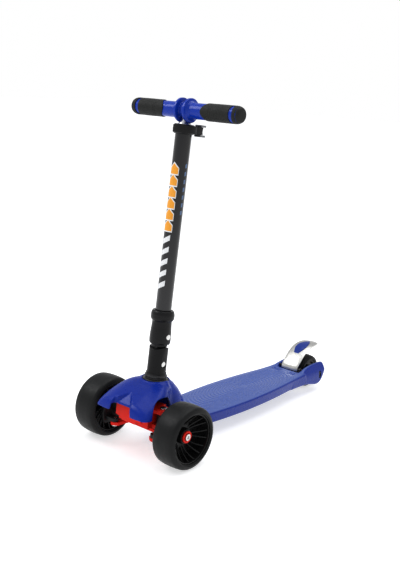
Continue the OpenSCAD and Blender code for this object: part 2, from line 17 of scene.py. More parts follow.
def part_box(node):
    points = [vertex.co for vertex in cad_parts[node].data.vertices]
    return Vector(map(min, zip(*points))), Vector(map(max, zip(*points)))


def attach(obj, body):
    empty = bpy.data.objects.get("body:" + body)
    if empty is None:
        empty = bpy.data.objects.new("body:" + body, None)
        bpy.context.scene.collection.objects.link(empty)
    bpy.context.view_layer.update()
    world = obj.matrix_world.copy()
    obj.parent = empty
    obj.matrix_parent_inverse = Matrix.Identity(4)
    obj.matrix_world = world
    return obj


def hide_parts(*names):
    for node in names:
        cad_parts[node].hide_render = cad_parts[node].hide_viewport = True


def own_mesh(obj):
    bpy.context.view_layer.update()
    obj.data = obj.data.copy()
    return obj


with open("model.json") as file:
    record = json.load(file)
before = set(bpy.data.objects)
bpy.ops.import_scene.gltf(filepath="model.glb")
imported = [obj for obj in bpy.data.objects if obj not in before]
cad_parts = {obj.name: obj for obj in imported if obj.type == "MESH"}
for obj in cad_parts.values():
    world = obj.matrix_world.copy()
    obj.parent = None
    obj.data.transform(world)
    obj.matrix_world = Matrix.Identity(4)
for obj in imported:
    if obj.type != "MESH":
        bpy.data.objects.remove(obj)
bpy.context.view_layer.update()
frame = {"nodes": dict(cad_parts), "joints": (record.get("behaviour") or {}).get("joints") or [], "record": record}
MM = 0.001
JOINTS = {joint["name"]: joint for joint in frame["joints"]}


# ---------------------------------------------------------------- places, all taken from the frame
def middle(node):
    """Middle of a node in the frame, in millimetres."""
    low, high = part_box(node)
    return (low + high) / 2 / MM


def span(node):
    """Lowest and highest corner of a node in millimetres, with y counted from the front axle."""
    low, high = (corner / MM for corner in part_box(node))
    low.y -= FRONT_Y
    high.y -= FRONT_Y
    return low, high


FRONT_Y = middle("tyre_left").y
AXLE_Z = middle("tyre_left").z
REAR = middle("rear_tyre") - Vector((0, FRONT_Y, 0))
TO_FRAME = Matrix.Translation((0, FRONT_Y * MM, 0)) @ Matrix.Scale(MM, 4)
STEM_UP = Vector(JOINTS["bar_height"]["axis"]).normalized()
STEM_BACK = STEM_UP.cross(Vector((1, 0, 0)))
STEM_FRAME = (
    Matrix.Translation(JOINTS["fold"]["pos_m"])
    @ Matrix((Vector((1, 0, 0)), STEM_BACK, STEM_UP)).transposed().to_4x4()
    @ Matrix.Scale(MM, 4)
)


def across(x, y, z):
    """Millimetre frame whose z runs along +x of the scooter, for round pieces on a cross axle."""
    return TO_FRAME @ Matrix.Translation((x, y, z)) @ Matrix.Rotation(math.pi / 2, 4, "Y")


def side_name(side):
    return "left" if side > 0 else "right"


def on_side(side):
    """Leaves the left side as it is and mirrors it for the right side."""
    return Matrix.Identity(4) if side > 0 else Matrix.Diagonal((-1, 1, 1, 1))


# ---------------------------------------------------------------- camera
# Azimuth, elevation and roll in degrees, place in metres, lens in millimetres
CAMERA_ANGLES = (40.23, 15.53, 3.36)
CAMERA_PLACE = (1.0511, -1.3683, 0.6919)
CAMERA_LENS = 54.894
CAMERA_SHIFT = (0.0107, 0.0542)


def add_camera():
    """The camera, from the front left and a little above."""
    azimuth, elevation, roll = (math.radians(angle) for angle in CAMERA_ANGLES)
    right = Vector((math.cos(azimuth), math.sin(azimuth), 0))
    back = Vector((
        math.sin(azimuth) * math.cos(elevation),
        -math.cos(azimuth) * math.cos(elevation),
        math.sin(elevation),
    ))
    up = back.cross(right)
    turned_right = right * math.cos(roll) + up * math.sin(roll)
    turned_up = up * math.cos(roll) - right * math.sin(roll)
    camera = bpy.data.objects.new("camera", bpy.data.cameras.new("camera"))
    camera.matrix_world = Matrix((turned_right, turned_up, back)).transposed().to_4x4()
    camera.location = CAMERA_PLACE
    camera.data.lens = CAMERA_LENS
    camera.data.shift_x, camera.data.shift_y = CAMERA_SHIFT
    bpy.context.scene.collection.objects.link(camera)
    bpy.context.scene.camera = camera


# ---------------------------------------------------------------- stage
# Brightness of the sky: height of a direction, from 0 level to 1 straight up, and its colour
SKY = [(0.12, (1, 1, 1, 1)), (0.42, (0.62, 0.63, 0.65, 1)), (0.75, (0.78, 0.79, 0.82, 1))]
FLOOR_HALF = 14.0
FLOOR_GLOW = 0.62


def add_area_light(name, place, target, size, power):
    """A soft rectangular light, in metres and watts."""
    light = bpy.data.lights.new(name, "AREA")
    light.shape = "RECTANGLE"
    light.size, light.size_y = size
    light.energy = power
    lamp = bpy.data.objects.new(name, light)
    lamp.location = place
    lamp.rotation_euler = (Vector(target) - Vector(place)).to_track_quat("-Z", "Y").to_euler()
    bpy.context.scene.collection.objects.link(lamp)


def add_stage():
    """Pale floor under a soft studio sky."""
    scene = bpy.context.scene
    scene.view_settings.view_transform = "Standard"
    scene.view_settings.gamma = 0.82
    world = bpy.data.worlds.new("studio")
    scene.world = world
    world.use_nodes = True
    tree = world.node_tree
    background = tree.nodes["Background"]
    where = tree.nodes.new("ShaderNodeTexCoord")
    split = tree.nodes.new("ShaderNodeSeparateXYZ")
    ramp = tree.nodes.new("ShaderNodeValToRGB")
    elements = ramp.color_ramp.elements
    for k, (height, colour) in enumerate(SKY):
        element = elements[k] if k < len(elements) else elements.new(height)
        element.position = height
        element.color = colour
    tree.links.new(where.outputs["Generated"], split.inputs[0])
    tree.links.new(split.outputs["Z"], ramp.inputs["Fac"])
    tree.links.new(ramp.outputs["Color"], background.inputs["Color"])

    signs = [(-1, -1), (1, -1), (1, 1), (-1, 1)]
    floor = mesh_object("floor", [(FLOOR_HALF * a, FLOOR_HALF * b, 0) for a, b in signs], [(0, 1, 2, 3)])
    material, shader = new_material("pale_floor", (0.6, 0.6, 0.6), 0.75)
    shader.inputs["Specular IOR Level"].default_value = 0.1
    shader.inputs["Emission Color"].default_value = (1, 1, 1, 1)
    shader.inputs["Emission Strength"].default_value = FLOOR_GLOW
    floor.data.materials.append(material)

    add_area_light("key", (-1.6, -1.4, 2.2), (0, 0, 0.2), (1.2, 1.2), 26)
    add_area_light("top", (0.1, 0.5, 2.4), (0, 0.05, 0), (2.2, 2.2), 30)


# ---------------------------------------------------------------- meshes
def mesh_object(name, points, faces, matrix=None, crease=None):
    """A mesh object; matrix takes its points to the frame's metres. Edges sharper than crease show."""
    mesh = bpy.data.meshes.new(name)
    mesh.from_pydata([tuple(p) for p in points], [], [tuple(f) for f in faces])
    if matrix is not None:
        mesh.transform(matrix)
        if matrix.determinant() < 0:
            mesh.flip_normals()
    mesh.validate()
    shade(mesh, crease)
    piece = bpy.data.objects.new(name, mesh)
    bpy.context.scene.collection.objects.link(piece)
    return piece


def shade(mesh, crease=None):
    """Smooth shading, with sharp edges where faces meet at more than crease degrees."""
    mesh.polygons.foreach_set("use_smooth", [crease is not None] * len(mesh.polygons))
    if crease is not None:
        mesh.set_sharp_from_angle(angle=math.radians(crease))
    mesh.update()


def rounded_path(corners, steps=4):
    """Points along straight lines with round corners; a corner is (a, b) or (a, b, radius)."""
    path = []
    for i, corner in enumerate(corners):
        here = Vector(corner[:2])
        radius = corner[2] if len(corner) > 2 else 0
        if radius == 0:
            path.append(here)
            continue
        to_last = Vector(corners[i - 1][:2]) - here
        to_next = Vector(corners[(i + 1) % len(corners)][:2]) - here
        before, after = to_last.normalized(), to_next.normalized()
        half_angle = before.angle(after) / 2
        reach = min(radius / math.tan(half_angle), 0.48 * to_last.length, 0.48 * to_next.length)
        radius = reach * math.tan(half_angle)
        centre = here + (before + after).normalized() * radius / math.sin(half_angle)
        start, end = here + before * reach - centre, here + after * reach - centre
        sweep = math.atan2(start.x * end.y - start.y * end.x, start.dot(end))
        for k in range(steps + 1):
            turn = sweep * k / steps
            path.append(centre + Vector((
                start.x * math.cos(turn) - start.y * math.sin(turn),
                start.x * math.sin(turn) + start.y * math.cos(turn),
            )))
    return path


def lathe(name, corners, matrix, segments=96, crease=30, steps=4):
    """Turns a closed profile of (radius, height) corners round the z axis."""
    path = rounded_path(corners, steps)
    points = []
    for radius, height in path:
        for k in range(segments):
            turn = 2 * math.pi * k / segments
            points.append((radius * math.cos(turn), radius * math.sin(turn), height))
    faces = []
    rings = len(path)
    for i in range(rings):
        a, b = i * segments, (i + 1) % rings * segments
        for k in range(segments):
            n = (k + 1) % segments
            faces.append((a + k, a + n, b + n, b + k))
    piece = mesh_object(name, points, faces, matrix, crease)
    weld(piece, crease)
    return piece


def weld(piece, crease):
    """Joins points that coincide, drops empty faces and turns the normals outward."""
    work = bmesh.new()
    work.from_mesh(piece.data)
    bmesh.ops.remove_doubles(work, verts=work.verts, dist=1e-6)
    bmesh.ops.dissolve_degenerate(work, edges=work.edges, dist=1e-7)
    bmesh.ops.recalc_face_normals(work, faces=work.faces)
    work.to_mesh(piece.data)
    work.free()
    shade(piece.data, crease)


def softened(node, width=0.5, segments=2, least_angle=32):
    """A copy of a CAD node with its edges rounded by width millimetres."""
    source = frame["nodes"][node]
    mesh = source.data.copy()
    mesh.name = node + "_soft"
    mesh.materials.clear()
    work = bmesh.new()
    work.from_mesh(mesh)
    bmesh.ops.remove_doubles(work, verts=work.verts, dist=2e-6)
    bmesh.ops.dissolve_limit(
        work, angle_limit=math.radians(0.6), verts=work.verts, edges=work.edges, delimit=set()
    )
    sharp = [
        e for e in work.edges
        if len(e.link_faces) == 2 and e.calc_face_angle(0) > math.radians(least_angle)
    ]
    bmesh.ops.bevel(
        work, geom=sharp, offset=width * MM, segments=segments, profile=0.5,
        affect="EDGES", clamp_overlap=True,
    )
    bmesh.ops.recalc_face_normals(work, faces=work.faces)
    work.to_mesh(mesh)
    work.free()
    if "custom_normal" in mesh.attributes:
        mesh.attributes.remove(mesh.attributes["custom_normal"])
    shade(mesh, 38)
    piece = bpy.data.objects.new(node + "_soft", mesh)
    bpy.context.scene.collection.objects.link(piece)
    return piece


# ---------------------------------------------------------------- smooth solids from distance fields
def smooth_min(a, b, k):
    """The nearer of two distances, blended over k millimetres."""
    h = np.clip(0.5 + 0.5 * (b - a) / k, 0, 1)
    return b + (a - b) * h - k * h * (1 - h)


def smooth_max(a, b, k):
    """The farther of two distances, blended over k millimetres."""
    return -smooth_min(-a, -b, k)


def box_field(x, y, z, low, high, radius=0.0):
    """Distance to a box with round edges."""
    parts = []
    for value, a, b in zip((x, y, z), low, high):
        parts.append(np.abs(value - (a + b) / 2) - (b - a) / 2 + radius)
    outside = np.sqrt(sum(np.maximum(p, 0) ** 2 for p in parts))
    inside = np.minimum(np.maximum(parts[0], np.maximum(parts[1], parts[2])), 0)
    return outside + inside - radius


def outline_field(u, v, outline):
    """Signed distance in a plane to a closed outline, negative inside."""
    nearest = np.full(np.broadcast(u, v).shape, 1e9, dtype=np.float32)
    inside = np.zeros(nearest.shape, dtype=bool)
    count = len(outline)
    for i in range(count):
        (au, av), (bu, bv) = outline[i], outline[(i + 1) % count]
        du, dv = bu - au, bv - av
        t = np.clip(((u - au) * du + (v - av) * dv) / (du * du + dv * dv), 0, 1)
        nearest = np.minimum(nearest, np.hypot(u - au - t * du, v - av - t * dv))
        if av != bv:
            crosses = (av <= v) != (bv <= v)
            inside ^= crosses & (u < au + (v - av) / (bv - av) * du)
    return np.where(inside, -nearest, nearest)


def thick_outline(field, value, low, high, radius):
    """A plane field given a thickness from low to high, with its edges rounded."""
    side = np.abs(value - (low + high) / 2) - (high - low) / 2 + radius
    plane = field + radius
    outside = np.hypot(np.maximum(plane, 0), np.maximum(side, 0))
    return outside + np.minimum(np.maximum(plane, side), 0) - radius


def spline(points, per_span=6):
    """Points of a smooth open curve through the given ones."""
    ghost = [points[0]] + list(points) + [points[-1]]
    curve = []
    for p0, p1, p2, p3 in zip(ghost, ghost[1:], ghost[2:], ghost[3:]):
        for k in range(per_span):
            t = k / per_span
            curve.append(tuple(
                0.5 * (2 * b + (c - a) * t + (2 * a - 5 * b + 4 * c - d) * t * t
                       + (3 * b - a - 3 * c + d) * t ** 3)
                for a, b, c, d in zip(p0, p1, p2, p3)
            ))
    curve.append(tuple(points[-1]))
    return curve


def solid(name, field, low, high, voxel, matrix=TO_FRAME, crease=55):
    """The surface where field(x, y, z) is zero, as a mesh of small quads. Millimetres."""
    counts = [int(math.ceil((b - a) / voxel)) + 1 for a, b in zip(low, high)]
    axes = [a + voxel * np.arange(n, dtype=np.float32) for a, n in zip(low, counts)]
    x, y, z = np.meshgrid(*axes, indexing="ij", sparse=True)
    values = np.array(np.broadcast_to(field(x, y, z), counts), dtype=np.float32, order="C")
    grid = openvdb.FloatGrid(10 * voxel)
    grid.copyFromArray(values)
    points, quads = grid.convertToQuads(0.0)
    return mesh_object(name, points * voxel + np.array(low), quads, matrix, crease)


# ---------------------------------------------------------------- materials
def new_material(name, colour, roughness, metallic=0.0):
    material = bpy.data.materials.new(name)
    material.use_nodes = True
    shader = material.node_tree.nodes["Principled BSDF"]
    shader.inputs["Base Color"].default_value = (*colour, 1)
    shader.inputs["Roughness"].default_value = roughness
    shader.inputs["Metallic"].default_value = metallic
    return material, shader


def finish_surface(
    name, colour, roughness, metallic=0.0, specular=0.5, coat=0.0,
    mottle=0.10, mottle_size=30, rough_spread=0.08,
    grain=0.12, grain_size=0.35, scuff=0.0, scuff_colour=(0.4, 0.4, 0.4), stretch=(1, 1, 1),
    painted_top_light=0.0, painted_top_light_colour=(0.4, 0.4, 0.4),
):
    """A moulded, painted or metal surface: cloudy colour, uneven gloss, fine grain and light scuffs.

    Sizes are in millimetres. mottle and rough_spread are shares of colour and roughness; the last two
    arguments give the share and the colour of painted light, a paler colour painted on faces that look up.
    """
    material, shader = new_material(name, colour, roughness, metallic)
    shader.inputs["Specular IOR Level"].default_value = specular
    shader.inputs["Coat Weight"].default_value = coat
    shader.inputs["Coat Roughness"].default_value = 0.08
    tree = material.node_tree
    link = tree.links.new
    where = tree.nodes.new("ShaderNodeTexCoord")
    scaled = tree.nodes.new("ShaderNodeMapping")
    scaled.inputs["Scale"].default_value = stretch
    link(where.outputs["Object"], scaled.inputs["Vector"])

    def noise(size, detail=3.0, rough=0.55):
        node = tree.nodes.new("ShaderNodeTexNoise")
        node.inputs["Scale"].default_value = 1 / (size * MM)
        node.inputs["Detail"].default_value = detail
        node.inputs["Roughness"].default_value = rough
        link(scaled.outputs["Vector"], node.inputs["Vector"])
        return node.outputs["Fac"]

    def ranged(value, low, high, to_low, to_high):
        node = tree.nodes.new("ShaderNodeMapRange")
        node.inputs["From Min"].default_value = low
        node.inputs["From Max"].default_value = high
        node.inputs["To Min"].default_value = to_low
        node.inputs["To Max"].default_value = to_high
        link(value, node.inputs["Value"])
        return node.outputs["Result"]

    def tinted(base, tint, share):
        node = tree.nodes.new("ShaderNodeMix")
        node.data_type = "RGBA"
        node.inputs["B"].default_value = (*tint, 1)
        link(base, node.inputs["A"])
        link(share, node.inputs["Factor"])
        return node.outputs["Result"]

    clouds = tree.nodes.new("ShaderNodeMix")
    clouds.data_type = "RGBA"
    clouds.inputs["A"].default_value = (*(c * (1 - mottle) for c in colour), 1)
    clouds.inputs["B"].default_value = (*(min(c * (1 + mottle) + 0.002, 1) for c in colour), 1)
    link(noise(mottle_size), clouds.inputs["Factor"])
    colour_out = clouds.outputs["Result"]
    # Painted light: faces that look up get a paler colour, as if lit from above
    if painted_top_light > 0:
        facing = tree.nodes.new("ShaderNodeNewGeometry")
        parts = tree.nodes.new("ShaderNodeSeparateXYZ")
        link(facing.outputs["Normal"], parts.inputs["Vector"])
        colour_out = tinted(colour_out, painted_top_light_colour, ranged(parts.outputs["Z"], 0.70, 1.0, 0, painted_top_light))
    if scuff > 0:
        colour_out = tinted(colour_out, scuff_colour, ranged(noise(6, 8.0, 0.7), 0.60, 0.78, 0, scuff))
    link(colour_out, shader.inputs["Base Color"])

    smoothest, roughest = max(roughness - rough_spread, 0.02), min(roughness + rough_spread, 1)
    gloss = ranged(noise(mottle_size / 3, 5.0), 0.3, 0.7, smoothest, roughest)
    link(gloss, shader.inputs["Roughness"])

    bump = tree.nodes.new("ShaderNodeBump")
    bump.inputs["Strength"].default_value = grain
    bump.inputs["Distance"].default_value = 0.15 * MM
    link(noise(grain_size, 2.0), bump.inputs["Height"])
    link(bump.outputs["Normal"], shader.inputs["Normal"])
    return material


MATERIALS = {
    "blue": finish_surface(
        "blue_moulding", (0.006, 0.030, 0.275), 0.28, specular=0.22, mottle=0.06, mottle_size=45,
        grain=0.10, grain_size=0.5, scuff=0.05, scuff_colour=(0.10, 0.14, 0.40),
    ),
    # The deck's tops are painted paler, as painted light from above
    "deck_blue": finish_surface(
        "deck_moulding", (0.007, 0.030, 0.26), 0.28, specular=0.4, mottle=0.06, mottle_size=45,
        rough_spread=0.04, grain=0.02, grain_size=1.2, painted_top_light=0.5, painted_top_light_colour=(0.13, 0.20, 0.42),
    ),
    "bar_blue": finish_surface(
        "bar_blue", (0.006, 0.040, 0.34), 0.22, specular=0.3, mottle=0.06, mottle_size=30,
        grain=0.08, grain_size=0.4,
    ),
    "inlay_blue": finish_surface(
        "inlay_blue", (0.008, 0.035, 0.24), 0.36, specular=0.3, mottle=0.08, mottle_size=14,
        grain=0.15, grain_size=0.4,
    ),
    "red": finish_surface(
        "red_moulding", (0.66, 0.020, 0.010), 0.46, specular=0.18, mottle=0.08, mottle_size=25,
        grain=0.12, grain_size=0.5,
    ),
    "tyre": finish_surface(
        "tyre_rubber", (0.012, 0.0125, 0.0128), 0.42, specular=0.22, mottle=0.22, mottle_size=20,
        rough_spread=0.07, grain=0.22, grain_size=0.5, scuff=0.16, scuff_colour=(0.03, 0.032, 0.033),
    ),
    "rim": finish_surface(
        "rim_moulding", (0.006, 0.006, 0.0065), 0.30, specular=0.35, mottle=0.2, mottle_size=15,
        grain=0.12, grain_size=0.4,
    ),
    "moulding": finish_surface(
        "black_moulding", (0.008, 0.008, 0.0088), 0.34, specular=0.3, mottle=0.2, mottle_size=15,
        grain=0.25, grain_size=0.6,
    ),
    "paint": finish_surface(
        "black_paint", (0.006, 0.006, 0.0075), 0.16, specular=0.5, mottle=0.15, mottle_size=25,
        rough_spread=0.05, grain=0.04, grain_size=0.8, coat=0.4,
    ),
    "grip": finish_surface(
        "grip_rubber", (0.018, 0.019, 0.018), 0.60, specular=0.28, mottle=0.25, mottle_size=8,
        grain=0.45, grain_size=0.5,
    ),
    "steel": finish_surface(
        "bright_steel", (0.66, 0.66, 0.65), 0.26, metallic=1.0, mottle=0.08, mottle_size=6,
        rough_spread=0.10, grain=0.10, grain_size=0.3,
    ),
    "fender": finish_surface(
        "brushed_fender", (0.56, 0.555, 0.53), 0.34, metallic=1.0, mottle=0.05, mottle_size=10,
        rough_spread=0.10, grain=0.16, grain_size=0.6, stretch=(6, 1, 1),
    ),
    "cast": finish_surface(
        "cast_metal", (0.22, 0.225, 0.23), 0.42, metallic=0.8, mottle=0.15, mottle_size=5,
        grain=0.3, grain_size=0.5,
    ),
    "dark_metal": finish_surface(
        "dark_metal", (0.05, 0.05, 0.052), 0.34, metallic=0.7, mottle=0.2, mottle_size=10,
        grain=0.2, grain_size=0.5,
    ),
    "buffer": finish_surface("buffer_rubber", (0.03, 0.03, 0.032), 0.7, grain=0.3, grain_size=0.5),
    "orange": finish_surface("print_orange", (0.75, 0.34, 0.03), 0.4, mottle=0.05, mottle_size=8),
    "white": finish_surface("print_white", (0.72, 0.73, 0.74), 0.4, mottle=0.04, mottle_size=8),
    "pale_blue": finish_surface("print_pale_blue", (0.10, 0.16, 0.28), 0.4, mottle=0.05, mottle_size=8),
}
# Body that each CAD node belongs to, from the record
BODY_OF = {n: b for b, nodes in frame["record"]["behaviour"]["bodies"].items() for n in nodes}


def fit_out(piece, body, look, *nodes):
    """Gives a piece its material and body, and lets it stand for CAD nodes."""
    piece.data.materials.clear()
    piece.data.materials.append(MATERIALS[look])
    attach(piece, body)
    if nodes:
        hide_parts(*nodes)
    return piece


def soften_nodes(names, look, width=0.5, segments=2):
    """Shows CAD nodes with their edges rounded by width millimetres."""
    for name in names:
        fit_out(softened(name, width, segments), BODY_OF[name], look, name)


# ---------------------------------------------------------------- front wheels
TYRE_SEAT = 47.6
BEARING_SEAT = 11.1
HUB_R = 15.5
SPOKE_PAIRS = 9
# Disc across the middle of the barrel: where it starts and ends, counted from the wheel's inner side
WEB = (20.6, 23.4)
AXLE_BORE = 4.3


def front_wheel(side):
    """Tyre, rim, spokes and hub of one front wheel; its z axis points outward."""
    name = side_name(side)
    body = name + "_wheel"
    low, high = span("tyre_left")
    width, radius, seat = high.x - low.x, AXLE_Z, TYRE_SEAT
    hub = on_side(side) @ across(low.x, 0, AXLE_Z)
    tyre = lathe(name + "_front_tyre", [
        (seat, 2.6, 1.0), (seat + 3.4, 0.9, 2.0), (radius - 10, 0, 4), (radius - 1.6, 3.6, 10),
        (radius - 0.25, width * 0.3, 30), (radius, width / 2 - 0.5), (radius, width / 2 + 0.5),
        (radius - 0.25, width * 0.7, 30), (radius - 1.6, width - 3.6, 10),
        (radius - 10, width, 4), (seat + 3.4, width - 0.9, 2.0), (seat, width - 2.6, 1.0),
        (seat, width - 6), (seat, 6),
    ], hub, segments=160, steps=6)
    fit_out(tyre, body, "tyre", "tyre_" + name)

    barrel = lathe(name + "_rim_barrel", [
        (seat, 4.5, 0.8), (seat - 2.6, 4.5, 0.8), (seat - 3.2, 9), (seat - 3.0, WEB[0]), (15, WEB[0]),
        (15, WEB[1]), (seat - 3.6, WEB[1]), (seat - 3.0, width - 9), (seat - 2.6, width - 4.5, 0.8),
        (seat, width - 4.5, 0.8),
    ], hub, segments=128)
    fit_out(barrel, body, "rim", "rim_" + name)

    ring_low, ring_high = (corner.x - low.x for corner in span("hub_ring_left"))
    hub_in, hub_out = 11.2, middle("hub_ring_left").x - low.x - 1.7
    boss = lathe(name + "_rim_hub", [
        (BEARING_SEAT, hub_in, 0.5), (HUB_R, hub_in, 1), (HUB_R, hub_out - 9), (13.6, hub_out, 0.8),
        (BEARING_SEAT, hub_out, 0.5),
    ], hub, segments=72)
    fit_out(boss, body, "rim")
    for face, root, end in (("outer", hub_out - 11, width - 7.5), ("inner", hub_in + 3, 7.5)):
        bars = spokes(f"{name}_{face}_spokes", root, end, seat - 2.4, hub)
        fit_out(bars, body, "rim")
    hub_ring = lathe(name + "_hub_ring", [
        (7.2, ring_low, 0.3), (11.6, ring_low, 0.4), (11.6, ring_high, 1.1), (7.2, ring_high, 0.8),
    ], hub, segments=72)
    fit_out(hub_ring, body, "red", "hub_ring_" + name)


def spokes(name, root, end, reach, matrix):
    """Pairs of curved bars from the hub, at height root, out to the barrel, at height end."""
    points, faces = [], []
    start, steps, half_width, depth = 13, 12, 1.15, 3.4
    sink = -1 if end > root else 1
    section = [
        (-half_width, sink * depth), (-half_width, sink * 0.7), (-half_width * 0.45, 0),
        (half_width * 0.45, 0), (half_width, sink * 0.7), (half_width, sink * depth),
    ]
    ring = len(section)
    for k in range(SPOKE_PAIRS * 2):
        base = 2 * math.pi * (k // 2 + (0.17 if k % 2 else -0.17)) / SPOKE_PAIRS
        lean = 0.16 if k % 2 else 0.06
        first = len(points)
        for i in range(steps + 1):
            t = i / steps
            radius = start + (reach - start) * t
            height = root + (end - root) * t ** 1.7
            turn = base + lean * t * t
            along = Vector((math.cos(turn), math.sin(turn), 0))
            beside = Vector((-math.sin(turn), math.cos(turn), 0))
            for off, rise in section:
                points.append(along * radius + beside * off + Vector((0, 0, height + rise)))
        for i in range(steps):
            a, b = first + i * ring, first + (i + 1) * ring
            for j in range(ring):
                n = (j + 1) % ring
                faces.append((a + j, a + n, b + n, b + j))
        faces.append([first + j for j in range(ring)][::-1])
        faces.append([first + steps * ring + j for j in range(ring)])
    piece = mesh_object(name, points, faces, matrix, 40)
    weld(piece, 40)
    return piece


def knuckle_boss(side):
    """Round shoulder of a knuckle, round the axle bolt; heights are counted from the middle plane."""
    boss = lathe(side_name(side) + "_knuckle_boss", [
        (AXLE_BORE, 66.8), (20, 66.8, 1.5), (21.5, 69, 1.5), (21.5, 75, 3), (14, 86.2, 1.2),
        (AXLE_BORE, 86.2),
    ], on_side(side) @ across(0, 0, AXLE_Z), segments=72)
    fit_out(boss, side_name(side) + "_knuckle", "moulding")


# ---------------------------------------------------------------- rear wheel
REAR_SEAT = 27.0
REAR_HUB_R, REAR_POCKET_R, REAR_LIP_R = 15, 22.5, 23.5
# Both sides of the rear rim and of its web, counted from the tyre's right side
REAR_RIM = (3, 31)
REAR_WEB = (7.5, 26.5)


def rear_wheel():
    """Tyre and rim of the rear wheel."""
    low, high = span("rear_tyre")
    width, radius, seat = high.x - low.x, REAR.z, REAR_SEAT
    hub = across(low.x, REAR.y, REAR.z)
    tyre = lathe("rear_tyre_skin", [
        (seat, 2, 0.8), (radius - 7, 0.3, 3), (radius - 1.6, 3.2, 7), (radius, width / 2, 30),
        (radius - 1.6, width - 3.2, 7), (radius - 7, width - 0.3, 3), (seat, width - 2, 0.8),
    ], hub, segments=128, steps=6)
    fit_out(tyre, "rear_wheel", "tyre", "rear_tyre")
    rim = lathe("rear_rim_skin", [
        (BEARING_SEAT, REAR_RIM[0]), (REAR_HUB_R, REAR_RIM[0], 0.6), (REAR_HUB_R, REAR_WEB[0]),
        (REAR_POCKET_R, REAR_WEB[0]), (REAR_LIP_R, REAR_RIM[0], 0.5), (seat, REAR_RIM[0], 0.5),
        (seat, REAR_RIM[1], 0.5), (REAR_LIP_R, REAR_RIM[1], 0.5), (REAR_POCKET_R, REAR_WEB[1]),
        (REAR_HUB_R, REAR_WEB[1]), (REAR_HUB_R, REAR_RIM[1], 0.6), (BEARING_SEAT, REAR_RIM[1]),
    ], hub, segments=96)
    fit_out(rim, "rear_wheel", "rim", "rear_rim")


# ---------------------------------------------------------------- front cover
# Roof line of the cover from the fingertips to the stem: distance behind the axle, height
ROOF = [
    (-65, 100), (-62, 106.5), (-56, 110.5), (-48, 114.5), (-38, 119.5), (-26, 124.5), (-10, 130), (8, 134),
    (30, 134.6),
]
# Side line of the cover in plan: distance behind the axle, half width
COVER_SIDE = [(-65, 66.6), (-44, 66.6), (-24, 63.5), (2, 55.5), (24, 42), (40, 32)]
# Dome behind the stem: height, middle behind the axle, radius
DOME = [
    (52, 60, 43), (60, 59, 43), (81, 54, 41.8), (97, 47, 41), (111, 41, 37.8), (124, 35, 32.4),
    (130, 32, 28.6), (134.5, 31, 25.4),
]
COVER_FRONT = -64.4
COVER_LOW = 51.8
COVER_TOP = 134.5
HOOD_BACK = 34
WALL = 3.0
# Arch over a knuckle: place behind the axle, height, radius
ARCH = (-6, 79, 40)
# Room for the beam: half width, front end and top
BEAM_ROOM = (31, -60, 99.5)
# Half width of the gap between the fingers, and how it widens below a height
FINGER_GAP = 22.5
GAP_SLOPE, GAP_FROM = 0.28, 104
# Lower edge of the fingers, and how far back it reaches
FINGER_LOW, FINGER_BACK = 88.3, -36
STEM_HOLE = 18.2
SEAT_RING = 7
FLANGE_BELOW = 32.6
STEM_SLOPE = STEM_UP.y / STEM_UP.z
PIVOT = Vector(JOINTS["fold"]["pos_m"]) / MM - Vector((0, FRONT_Y, 0))
STEM_FOOT_Y = PIVOT.y - FLANGE_BELOW * STEM_UP.y
SEAT_Z = PIVOT.z - FLANGE_BELOW * STEM_UP.z
# Value of a field that is nowhere near the surface
FAR_INSIDE = -50


def cover_field(x, y, z):
    """Dome with two broad fingers that reach over the knuckles, hollow below."""
    ax = np.abs(x)
    heights, places, radii = zip(*DOME)
    dome = (np.hypot(x, y - np.interp(z, heights, places)) - np.interp(z, heights, radii)) * 0.84
    dome = smooth_max(dome, z - COVER_TOP, 1.5)
    roof_y, roof_z = zip(*spline(ROOF, 4))
    side_y, side_x = zip(*spline(COVER_SIDE, 4))
    fall = 15.5 * np.clip((ax - 18) / 48, 0, 1.2) ** 2
    roof = (z - np.interp(y, roof_y, roof_z) + fall) * 0.84
    flank = smooth_max(ax - np.interp(y, side_y, side_x), COVER_FRONT - y, 13)
    hood = smooth_max(smooth_max(roof, flank, 13), y - HOOD_BACK, 6)
    outer = smooth_min(dome, hood, 9)
    # Sloping triangular pocket, open to the front between the fingers
    widening = GAP_SLOPE * np.clip(GAP_FROM - z, 0, 20)
    floor = (-(z - 124 - (y + 30) * 0.98)) * 0.71
    half = np.clip((-31 - y) * 0.86, -4, FINGER_GAP) + widening
    pocket = smooth_max(smooth_max((ax - half) * 0.76, floor, 2.5), y + 28, 1)
    gap = smooth_max(ax - FINGER_GAP - widening, y + 51.5, 3)
    outer = smooth_max(outer, -smooth_min(pocket, gap, 1.5), 2.2)
    shell = smooth_max(outer, -(outer + WALL), 0.8)
    # Arch over each knuckle, room for the beam, and the open front between the fingers
    arch = ARCH[2] - np.hypot(y - ARCH[0], z - ARCH[1])
    shell = smooth_max(shell, arch, 1.2)
    beam_room = np.minimum(np.minimum(BEAM_ROOM[2] - z, BEAM_ROOM[0] - ax), y - BEAM_ROOM[1])
    shell = np.maximum(shell, np.minimum(beam_room, HOOD_BACK - y))
    shell = smooth_max(shell, np.where(y < FINGER_BACK, FINGER_LOW - z, FAR_INSIDE), 1.0)
    shell = np.maximum(shell, COVER_LOW - z)
    # Bore and flat seat for the stem's foot
    off = np.hypot(x, y - STEM_FOOT_Y)
    seat = z - (SEAT_Z - (y - STEM_FOOT_Y) * STEM_SLOPE)
    shell = smooth_max(shell, np.where(z > 100, STEM_HOLE - off, FAR_INSIDE), 0.5)
    return np.maximum(shell, np.minimum(seat, STEM_HOLE + SEAT_RING - off))


def front_cover():
    cover = solid("front_cover_shell", cover_field, (-72, -68, 50), (72, 108, 138), 1.1, crease=60)
    fit_out(cover, "deck", "blue", "front_cover")


# ---------------------------------------------------------------- deck
# Side line of the deck in plan: distance behind the axle, half width
DECK_SIDE = [
    (46, 34), (90, 44), (120, 50.7), (150, 55), (190, 58.5), (240, 60.7), (280, 60.7), (330, 59),
    (380, 55.2), (420, 51), (460, 47.6), (482, 46.5),
]
